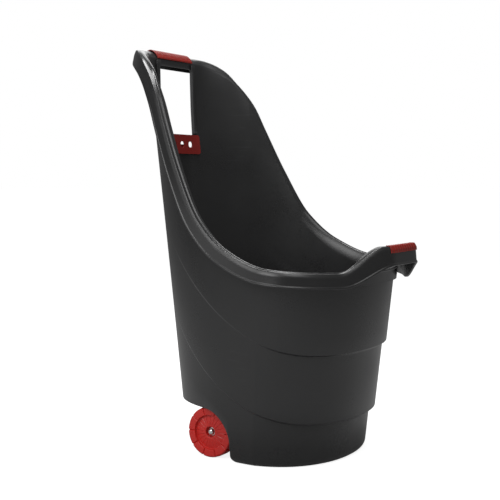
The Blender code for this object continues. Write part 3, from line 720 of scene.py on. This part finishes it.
def rear_profile():
    """Up the bar's inner face, over its crown and a little way down its outer face."""
    over = [-0.0030, -0.0020, 0.0020, 0.0042]
    over += [share * BAR_WIDTH for share in (0.25, 0.42, 0.62)] + [BAR_WIDTH - BEVEL_WIDTH]
    points = [(-WALL, -0.0180)] + [(out, PLATE_TOP + float(bar_crown(out))) for out in over]
    bevel = BAR_WIDTH + BEVEL_OUT
    bevel_low = BEVEL_LOW + float(bar_crown(bevel))
    share = (GRIP_SKIRT - bevel_low) / (-BAR_SKIRT_DEPTH - bevel_low)
    skirt_out = bevel + share * (SKIRT_FLARE + BAR_FLARE - BEVEL_OUT)
    return points + [(bevel, bevel_low), (skirt_out, GRIP_SKIRT)]


FRONT_PROFILE = [(-0.0120, -0.0006), (-0.0030, -0.0006), (0.0005, -0.0070), (0.0011, -0.0130)]

rear_grip = ribbed_cap("rear_grip_cap", rear_profile(), REAR_GRIP_HALF, rear_station)
front_grip = ribbed_cap("front_grip_cap", FRONT_PROFILE, FRONT_GRIP_HALF, front_station)

# %% [markdown]
# ## Tool rack
# A red plate follows the inner face of the back, with four slots for the hooks of small tools
# and a hook of its own over the window's lower edge. A bevel modifier breaks its edges.

# %% Rack
RACK_HALF, RACK_BOTTOM, RACK_TOP = 0.0745, 0.6175, 0.660
RACK_THICK, RACK_GAP, RACK_CORNER = 0.0025, 0.0014, 0.005
SLOT_PITCH, SLOT_SIZE, SLOT_HEIGHT, SLOT_ROUND = 0.0302, (0.0140, 0.0130), 0.6385, 0.0055
HOOK_HALF = 0.034


def rack_plate():
    """Sections across X; near each end they get shorter along a quarter circle."""
    middle_z, half_height = (RACK_TOP + RACK_BOTTOM) / 2, (RACK_TOP - RACK_BOTTOM) / 2
    turn = np.linspace(np.pi / 2, 0, 9)
    ends = RACK_HALF - RACK_CORNER * (1 - np.cos(turn))
    places = np.concatenate([ends, np.linspace(RACK_HALF - RACK_CORNER, 0, 24)[1:]])
    places = np.unique(np.round(np.concatenate([places, -places]), 6))
    sections = []
    for x in places:
        past = max(0.0, abs(x) - (RACK_HALF - RACK_CORNER))
        cut = RACK_CORNER - math.sqrt(max(RACK_CORNER**2 - past**2, 0.0))
        half = half_height - min(cut, RACK_CORNER * 0.98)
        up = np.linspace(middle_z - half, middle_z + half, 7)
        face = np.array([float(back_face(x, z)) for z in up]) - RACK_GAP
        front = np.column_stack([np.full(7, x), face - RACK_THICK, up])
        back = np.column_stack([np.full(7, x), face, up])[::-1]
        sections.append(np.vstack([front, back]))
    return swept("tool_rack_plate", sections)


def make_rack():
    """The plate, its hook and its four slots."""
    rack = rack_plate()
    low, high = OPENING_BOTTOM + 0.0007, OPENING_BOTTOM + 0.0029
    inner = float(back_face(0.0, OPENING_BOTTOM)) - RACK_GAP - RACK_THICK + 0.0010
    outer = float(back_face(0.0, OPENING_BOTTOM)) + WALL + GAP
    foot = RACK_BOTTOM + 0.001
    hook = [(inner, low), (outer, low), (outer, foot), (outer + RACK_THICK, foot)]
    hook += [(outer + RACK_THICK, SLOT_HEIGHT), (outer, SLOT_HEIGHT), (outer, high), (inner, high)]
    combine(rack, prism("hook", hook, 0, -HOOK_HALF, HOOK_HALF), "UNION")
    front = float(back_face(RACK_HALF, SLOT_HEIGHT)) - 0.01
    half_x, half_z = SLOT_SIZE[0] / 2, SLOT_SIZE[1] / 2
    for number in (-1.5, -0.5, 0.5, 1.5):
        x = number * SLOT_PITCH
        box = (x - half_x, SLOT_HEIGHT - half_z, x + half_x, SLOT_HEIGHT + half_z)
        back = float(back_face(x, SLOT_HEIGHT)) + 0.0012
        cutter = prism("slot", rounded_rectangle(*box, SLOT_ROUND), 1, front, back)
        combine(rack, cutter, "DIFFERENCE")
    edge = rack.modifiers.new("edge", "BEVEL")
    edge.width = 0.0004
    edge.segments = 2
    edge.limit_method = "ANGLE"
    edge.angle_limit = math.radians(50)
    return shade(rack, 40)


rack = make_rack()

# %% [markdown]
# ## Wheels
# A wheel is a section turned round the axle: a hub socket, a shallow dish and a raised outer
# band. The band is divided by radial grooves, which also nick the tread, and faint rays run
# across the dish. The grooves are narrow bell curves of the angle.

# %% Wheel section and grooves
BLOCKS, RAYS, WHEEL_STEPS = 10, 20, 480
GROOVE_DEPTH, GROOVE_NICK, RAY_DEPTH = 0.0024, 0.0020, 0.0008
FACE_DEPTH = 0.0070
WHEEL_SECTION = (
    (AXLE_RADIUS + GAP, -0.0120, 0.0003),
    (0.0108, -0.0120, 0.0004),
    (0.0108, -0.0044, 0.0008),
    (0.0140, -0.0036, 0.0020),
    (0.0250, -0.0046, 0.0040),
    (0.0342, -0.0062, 0.0012),
    (0.0352, -0.0004, 0.0008),
    (WHEEL_RADIUS - 0.0030, 0.0, 0.0012),
    (WHEEL_RADIUS - 0.0006, -0.0024, 0.0016),
    (WHEEL_RADIUS, -0.0080, 0.0020),
    (WHEEL_RADIUS, -WHEEL_WIDTH + 0.007, 0.0020),
    (WHEEL_RADIUS - 0.0025, -WHEEL_WIDTH, 0.0014),
    (0.0445, -WHEEL_WIDTH, 0.0006),
    (0.0435, -0.0085, 0.0012),
    (0.0140, -0.0130, 0.0012),
    (0.0130, -WHEEL_WIDTH, 0.0004),
    (AXLE_RADIUS + GAP, -WHEEL_WIDTH, 0.0003),
)


def bell(angle, count, width):
    """1 at each of count even angles, falling off as a bell curve of this width."""
    share = 2 * np.pi / count
    off = (angle + share / 2) % share - share / 2
    return np.exp(-((off / width) ** 2))


def filled(points, longest):
    """Extra points on the section's long straight stretches, evenly spaced."""
    made = []
    for here, after in zip(points, points[1:] + points[:1]):
        count = max(1, math.ceil(np.linalg.norm(after - here) / longest))
        made += [here + (after - here) * k / count for k in range(count)]
    return made


def make_wheel(name, side):
    """The section carried round the axle, with grooves and rays taken out of it."""
    corners = [np.array(p[:2]) for p in WHEEL_SECTION]
    section = round_corners(corners, [p[2] for p in WHEEL_SECTION], True, 4)
    section = np.array(filled(section, 0.0025))
    turn = np.linspace(0, 2 * np.pi, WHEEL_STEPS, endpoint=False)
    r, depth = np.meshgrid(section[:, 0], turn)[0], np.meshgrid(section[:, 1], turn)[0]
    angle = np.broadcast_to(turn[:, None], r.shape)
    groove = bell(angle, BLOCKS, math.radians(1.5))
    in_face = depth > -FACE_DEPTH
    band = smoothstep(0.0350, 0.0362, r) * in_face
    dish = smoothstep(0.0130, 0.0150, r) * smoothstep(0.0345, 0.0330, r) * in_face
    tread = smoothstep(WHEEL_RADIUS - 0.002, WHEEL_RADIUS - 0.0005, r)
    tread = tread * smoothstep(-WHEEL_WIDTH + 0.002, -WHEEL_WIDTH + 0.008, depth)
    lowered = GROOVE_DEPTH * groove * band
    lowered = lowered + RAY_DEPTH * bell(angle, RAYS, math.radians(1.6)) * dish
    reach = r - GROOVE_NICK * groove * tread
    x = side * (WHEEL_FACE + depth - lowered)
    points = np.stack([x, AXLE_Y + reach * np.cos(angle), AXLE_Z + reach * np.sin(angle)], -1)
    return shade(ring_grid(name, list(points)), 40)


wheels = {"left": make_wheel("left_wheel_disc", -1), "right": make_wheel("right_wheel_disc", 1)}

# %% [markdown]
# ## Axle and caps
# The steel axle and its push-on caps are turned pieces: a section carried round the X axis.
# Their ends close on the axis in a single point, so the meshes stay closed.

# %% Turned pieces
def turned(name, section, radii, steps=96):
    """Section is (along X, radius) from axis to axis, and the end points close it."""
    path = np.array(round_corners([np.array(p) for p in section], radii, False, 5))
    turn = np.linspace(0, 2 * np.pi, steps, endpoint=False)
    rings = path[1:-1]
    x = np.repeat(rings[:, :1], steps, axis=1)
    y = AXLE_Y + rings[:, 1:] * np.cos(turn)
    z = AXLE_Z + rings[:, 1:] * np.sin(turn)
    points = np.stack([x, y, z], axis=-1).reshape(-1, 3)
    tips = np.array([(path[0, 0], AXLE_Y, AXLE_Z), (path[-1, 0], AXLE_Y, AXLE_Z)])
    first, last, size = len(points), len(points) + 1, len(points)
    faces = grid_quads(len(rings), steps, False, True).tolist()
    faces += [[first, (k + 1) % steps, k] for k in range(steps)]
    ring = size - steps
    faces += [[last, ring + k, ring + (k + 1) % steps] for k in range(steps)]
    mesh = bpy.data.meshes.new(name)
    mesh.from_pydata(np.vstack([points, tips]).tolist(), [], faces)
    obj = bpy.data.objects.new(name, mesh)
    bpy.context.scene.collection.objects.link(obj)
    return shade(facing_out(obj), 40)


def make_axle():
    end, chamfer = WHEEL_FACE - 0.0060, 0.0008
    half = [(end, 0), (end, AXLE_RADIUS - chamfer), (end - chamfer, AXLE_RADIUS)]
    section = [(-x, r) for x, r in half] + half[::-1]
    return turned("axle_rod", section, (0, 0.0003, 0.0003, 0.0003, 0.0003, 0))


def make_cap(name, side):
    """A dome with a thin rim, hollow where the axle's end goes in."""
    start, tip = WHEEL_FACE - 0.0120 + GAP, WHEEL_FACE - 0.0030
    bore, seat = AXLE_RADIUS + GAP, WHEEL_FACE - 0.0060 + GAP
    dome = [(tip, 0), (tip - 0.0004, 0.0028), (tip - 0.0016, 0.0050), (tip - 0.0034, 0.0063)]
    rim = [(start + 0.0010, 0.0064), (start + 0.0008, 0.0082), (start, 0.0082), (start, bore)]
    section = [(side * x, r) for x, r in dome + rim + [(seat, bore), (seat, 0)]]
    return turned(name, section, (0, 0.0012, 0.0012, 0.0010, 0.0002, 0.0002, 0.0002, 0.0002, 0, 0))


axle = make_axle()
caps = {"left": make_cap("left_axle_dome", -1), "right": make_cap("right_axle_dome", 1)}

# %% [markdown]
# ## Finishes
# Moulded plastic is never one flat colour. The mould's grain breaks up the gloss, the surface
# is a touch mottled, handling leaves fine scuffs, and raised edges are painted lighter, partly
# as edge wear and partly as a painted highlight along them. One node group works all of this
# out from a position, and each plastic uses it with its own values.

# %% Node helpers
def node(tree, kind, inputs=None, **settings):
    """A node with its settings and its unlinked input values."""
    made = tree.nodes.new(kind)
    for name, value in settings.items():
        setattr(made, name, value)
    for name, value in (inputs or {}).items():
        made.inputs[name].default_value = value
    return made


def maths(tree, operation, a, b):
    """A maths node: a and b are sockets or numbers."""
    made = tree.nodes.new("ShaderNodeMath")
    made.operation = operation
    for socket, value in zip(made.inputs, (a, b)):
        if isinstance(value, (int, float)):
            socket.default_value = value
        else:
            tree.links.new(value, socket)
    return made.outputs[0]


def ranged(tree, value, low, high, to_low=0.0, to_high=1.0):
    """The value mapped from low..high to to_low..to_high, held at the ends."""
    made = node(tree, "ShaderNodeMapRange", clamp=True)
    for name, number in zip(("From Min", "From Max", "To Min", "To Max"),
                            (low, high, to_low, to_high)):
        made.inputs[name].default_value = number
    tree.links.new(value, made.inputs["Value"])
    return made.outputs["Result"]


def noise(tree, place, scale, detail=3.0, stretch=None):
    """Noise at this many cells a metre, optionally stretched along an axis."""
    if stretch:
        mapping = node(tree, "ShaderNodeMapping", {"Scale": stretch})
        tree.links.new(place, mapping.inputs["Vector"])
        place = mapping.outputs["Vector"]
    made = node(tree, "ShaderNodeTexNoise", {"Scale": scale, "Detail": detail})
    tree.links.new(place, made.inputs["Vector"])
    return made.outputs["Fac"]


# %% The moulded-plastic group
def plastic_group():
    """Position and colours in; colour, roughness and surface height out."""
    tree = bpy.data.node_groups.new("moulded_plastic", "ShaderNodeTree")
    sockets = (
        ("Position", "INPUT", "NodeSocketVector"),
        ("Colour", "INPUT", "NodeSocketColor"),
        ("Wear And Highlight Colour", "INPUT", "NodeSocketColor"),
        ("Roughness", "INPUT", "NodeSocketFloat"),
        ("Wear And Highlight Amount", "INPUT", "NodeSocketFloat"),
        ("Colour", "OUTPUT", "NodeSocketColor"),
        ("Roughness", "OUTPUT", "NodeSocketFloat"),
        ("Height", "OUTPUT", "NodeSocketFloat"),
    )
    for name, way, kind in sockets:
        tree.interface.new_socket(name, in_out=way, socket_type=kind)
    given = node(tree, "NodeGroupInput")
    out = node(tree, "NodeGroupOutput")
    place = given.outputs["Position"]

    mottle = noise(tree, place, 9.0, 4.0)
    grain = noise(tree, place, 900.0, 2.0)
    lines = noise(tree, place, 14.0, 6.0, (1.0, 1.0, 14.0))
    patches = ranged(tree, noise(tree, place, 5.0, 2.0), 0.50, 0.68)
    scuffs = maths(tree, "MULTIPLY", ranged(tree, lines, 0.60, 0.68), patches)
    surface = node(tree, "ShaderNodeNewGeometry")
    # Painted highlight and edge wear: raised edges, where Pointiness is high, get the lighter colour.
    edges = ranged(tree, surface.outputs["Pointiness"], 0.52, 0.62)
    broken = maths(tree, "MULTIPLY", edges, ranged(tree, mottle, 0.35, 0.65, 0.55, 1.0))
    # The lighter colour's mask: painted highlight and wear on the edges, plus real scuffs.
    wear_and_highlight_mask = maths(tree, "MAXIMUM", broken, maths(tree, "MULTIPLY", scuffs, 0.12))
    wear_and_highlight_mask = maths(tree, "MULTIPLY", wear_and_highlight_mask, given.outputs["Wear And Highlight Amount"])

    brightness = ranged(tree, mottle, 0.3, 0.7, 0.90, 1.10)
    tinted = node(tree, "ShaderNodeVectorMath", operation="SCALE")
    tree.links.new(given.outputs["Colour"], tinted.inputs[0])
    tree.links.new(brightness, tinted.inputs["Scale"])
    mix = node(tree, "ShaderNodeMix", data_type="RGBA")
    tree.links.new(wear_and_highlight_mask, mix.inputs["Factor"])
    tree.links.new(tinted.outputs[0], mix.inputs["A"])
    tree.links.new(given.outputs["Wear And Highlight Colour"], mix.inputs["B"])
    tree.links.new(mix.outputs["Result"], out.inputs["Colour"])

    rough = maths(tree, "ADD", given.outputs["Roughness"], ranged(tree, mottle, 0.3, 0.7, -0.04, 0.04))
    rough = maths(tree, "ADD", rough, ranged(tree, grain, 0.3, 0.7, -0.015, 0.015))
    rough = maths(tree, "ADD", rough, maths(tree, "MULTIPLY", wear_and_highlight_mask, 0.10))
    tree.links.new(rough, out.inputs["Roughness"])
    height = maths(tree, "SUBTRACT", grain, maths(tree, "MULTIPLY", scuffs, 0.5))
    tree.links.new(height, out.inputs["Height"])
    return tree


PLASTIC = plastic_group()


def plastic(name, colour, wear_and_highlight_colour, roughness, wear_and_highlight_amount, grain=0.00002, specular=0.5):
    """A plastic that uses the group. Constant values sit on the shader itself."""
    made = bpy.data.materials.new(name)
    made.use_nodes = True
    tree = made.node_tree
    shader = tree.nodes["Principled BSDF"]
    shader.inputs["Specular IOR Level"].default_value = specular
    place = node(tree, "ShaderNodeTexCoord")
    group = node(tree, "ShaderNodeGroup", node_tree=PLASTIC)
    group.inputs["Colour"].default_value = (*colour, 1)
    group.inputs["Wear And Highlight Colour"].default_value = (*wear_and_highlight_colour, 1)
    group.inputs["Roughness"].default_value = roughness
    group.inputs["Wear And Highlight Amount"].default_value = wear_and_highlight_amount
    bump = node(tree, "ShaderNodeBump", {"Strength": 0.5, "Distance": grain})
    links = tree.links
    links.new(place.outputs["Object"], group.inputs["Position"])
    links.new(group.outputs["Colour"], shader.inputs["Base Color"])
    links.new(group.outputs["Roughness"], shader.inputs["Roughness"])
    links.new(group.outputs["Height"], bump.inputs["Height"])
    links.new(bump.outputs["Normal"], shader.inputs["Normal"])
    print("finish:", name)
    return made


def plated_steel(name):
    """Bright zinc-plated steel, with fine turning lines round the axle."""
    made = bpy.data.materials.new(name)
    made.use_nodes = True
    tree = made.node_tree
    shader = tree.nodes["Principled BSDF"]
    shader.inputs["Metallic"].default_value = 1.0
    place = node(tree, "ShaderNodeTexCoord").outputs["Object"]
    lines = noise(tree, place, 60.0, 3.0, (60.0, 1.0, 1.0))
    cloud = noise(tree, place, 120.0, 3.0)
    tone = node(tree, "ShaderNodeMix", {"A": (0.55, 0.55, 0.56, 1), "B": (0.78, 0.77, 0.74, 1)},
                data_type="RGBA")
    links = tree.links
    links.new(cloud, tone.inputs["Factor"])
    links.new(tone.outputs["Result"], shader.inputs["Base Color"])
    links.new(ranged(tree, lines, 0.3, 0.7, 0.16, 0.34), shader.inputs["Roughness"])
    bump = node(tree, "ShaderNodeBump", {"Strength": 0.4, "Distance": 0.00003})
    links.new(lines, bump.inputs["Height"])
    links.new(bump.outputs["Normal"], shader.inputs["Normal"])
    print("finish:", name)
    return made


# %% Put each finish on its piece
# Each plastic's second colour is the lighter one used for edge wear, scuffs and the painted highlight
# on raised edges.
BLACK = plastic("black_plastic", (0.0150, 0.0150, 0.0154), (0.085, 0.085, 0.087), 0.30, 0.8)
RED_GRIP = plastic("red_grip", (0.190, 0.011, 0.007), (0.30, 0.06, 0.05), 0.34, 0.4, 0.00003, 0.28)
RED_RACK = plastic("red_rack", (0.190, 0.010, 0.007), (0.30, 0.06, 0.05), 0.40, 0.4, 0.00002, 0.35)
RED_WHEEL = plastic("red_wheel", (0.520, 0.015, 0.010), (0.70, 0.10, 0.07), 0.40, 0.4)
STEEL = plated_steel("plated_steel")

# Each row: piece, finish, body, node it stands for, slot in the record
PIECES = (
    (tub, BLACK, "cart", "tub", "black_plastic"),
    (rear_grip, RED_GRIP, "cart", "rear_grip", "red_grip"),
    (front_grip, RED_GRIP, "cart", "front_grip", "red_grip"),
    (rack, RED_RACK, "cart", "tool_rack", "red_rack"),
    (wheels["left"], RED_WHEEL, "left_wheel", "wheel_left", "red_wheel"),
    (wheels["right"], RED_WHEEL, "right_wheel", "wheel_right", "red_wheel"),
    (axle, STEEL, "cart", "axle", "steel"),
    (caps["left"], STEEL, "cart", "axle_cap_left", "steel"),
    (caps["right"], STEEL, "cart", "axle_cap_right", "steel"),
)
for piece, finish, body, stands_for, slot in PIECES:
    piece.data.materials.clear()
    piece.data.materials.append(finish)
    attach(piece, body)
    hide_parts(stands_for)
print(len(PIECES), "pieces ride on their bodies")

# %% [markdown]
# ## Studio
# The cart stands on a wide pale floor in an even white room. Black plastic shows its shape
# mostly by what it mirrors, so five soft panels stand round it. One overhead draws the light
# line along the rim, a key panel and a left panel light the sides that face the camera, a
# weaker side panel fills in behind the left one, and a backdrop panel lights the far side.

# %% Floor, world, lights and camera
FLOOR_RADIUS, FLOOR_SIDES, FLOOR_GLOW = 60, 96, 0.87


def pale_floor():
    """A wide disc, with the faintest mottling so that it isn't a flat colour."""
    turn = np.linspace(0, 2 * np.pi, FLOOR_SIDES, endpoint=False)
    rim = np.column_stack([np.cos(turn), np.sin(turn), np.zeros(FLOOR_SIDES)]) * FLOOR_RADIUS
    mesh = bpy.data.meshes.new("floor")
    mesh.from_pydata(rim.tolist(), [], [list(range(FLOOR_SIDES))])
    floor = bpy.data.objects.new("floor", mesh)
    bpy.context.scene.collection.objects.link(floor)
    made = bpy.data.materials.new("pale_floor")
    made.use_nodes = True
    tree = made.node_tree
    shader = tree.nodes["Principled BSDF"]
    shader.inputs["Roughness"].default_value = 0.85
    shader.inputs["Emission Color"].default_value = (1, 1, 1, 1)
    seen_directly = node(tree, "ShaderNodeLightPath").outputs["Is Camera Ray"]
    glow = ranged(tree, seen_directly, 0, 1, 0.0, FLOOR_GLOW)
    tree.links.new(glow, shader.inputs["Emission Strength"])
    place = node(tree, "ShaderNodeTexCoord").outputs["Object"]
    tone = node(tree, "ShaderNodeMix", {"A": (0.44, 0.44, 0.44, 1), "B": (0.48, 0.48, 0.48, 1)},
                data_type="RGBA")
    tree.links.new(noise(tree, place, 2.0), tone.inputs["Factor"])
    tree.links.new(tone.outputs["Result"], shader.inputs["Base Color"])
    mesh.materials.append(made)


def white_room(seen, lights, mirrored):
    """A white world: how bright it is when seen directly, as a light, and in reflections."""
    world = bpy.data.worlds.new("white_room")
    world.use_nodes = True
    tree = world.node_tree
    back = tree.nodes["Background"]
    back.inputs["Color"].default_value = (1, 1, 1, 1)
    path = node(tree, "ShaderNodeLightPath")
    indirect = ranged(tree, path.outputs["Is Glossy Ray"], 0, 1, lights, mirrored)
    strength = node(tree, "ShaderNodeMix", {"B": seen})
    tree.links.new(path.outputs["Is Camera Ray"], strength.inputs["Factor"])
    tree.links.new(indirect, strength.inputs["A"])
    tree.links.new(strength.outputs["Result"], back.inputs["Strength"])
    bpy.context.scene.world = world


def soft_panel(name, place, aim, size, power):
    """A square area light at a place, turned towards its aim."""
    light = bpy.data.lights.new(name, "AREA")
    light.shape = "SQUARE"
    light.size = size
    light.energy = power
    obj = bpy.data.objects.new(name, light)
    obj.location = place
    obj.rotation_euler = (Vector(aim) - Vector(place)).to_track_quat("-Z", "Y").to_euler()
    bpy.context.scene.collection.objects.link(obj)


def add_camera():
    """A long lens, level with the cart's upper third, seen from its left front."""
    camera = bpy.data.cameras.new("camera")
    camera.lens = 75.7
    camera.sensor_width = 36.0
    obj = bpy.data.objects.new("camera", camera)
    obj.location = (-1.9123, -1.0883, 0.5604)
    ahead = Vector((0.8552, 0.5138, -0.0669))
    obj.rotation_euler = ahead.to_track_quat("-Z", "Y").to_euler()
    bpy.context.scene.collection.objects.link(obj)
    bpy.context.scene.camera = obj


bpy.context.scene.view_settings.view_transform = "Standard"
pale_floor()
white_room(seen=1.0, lights=0.30, mirrored=0.18)
soft_panel("overhead_panel", (0.1, 0.0, 2.4), (0, 0, 0.5), 0.7, 30)
soft_panel("key_panel", (-1.1, -1.2, 2.6), (0, 0, 0.4), 1.2, 16)
soft_panel("left_panel", (-2.1, 0.1, 1.75), (0, 0, 0.6), 1.3, 26)
soft_panel("side_panel", (-2.4, 1.9, 1.05), (0, 0, 0.5), 1.6, 7)
soft_panel("backdrop_panel", (1.9, 1.3, 1.9), (0, 0, 0.6), 1.2, 10)
add_camera()
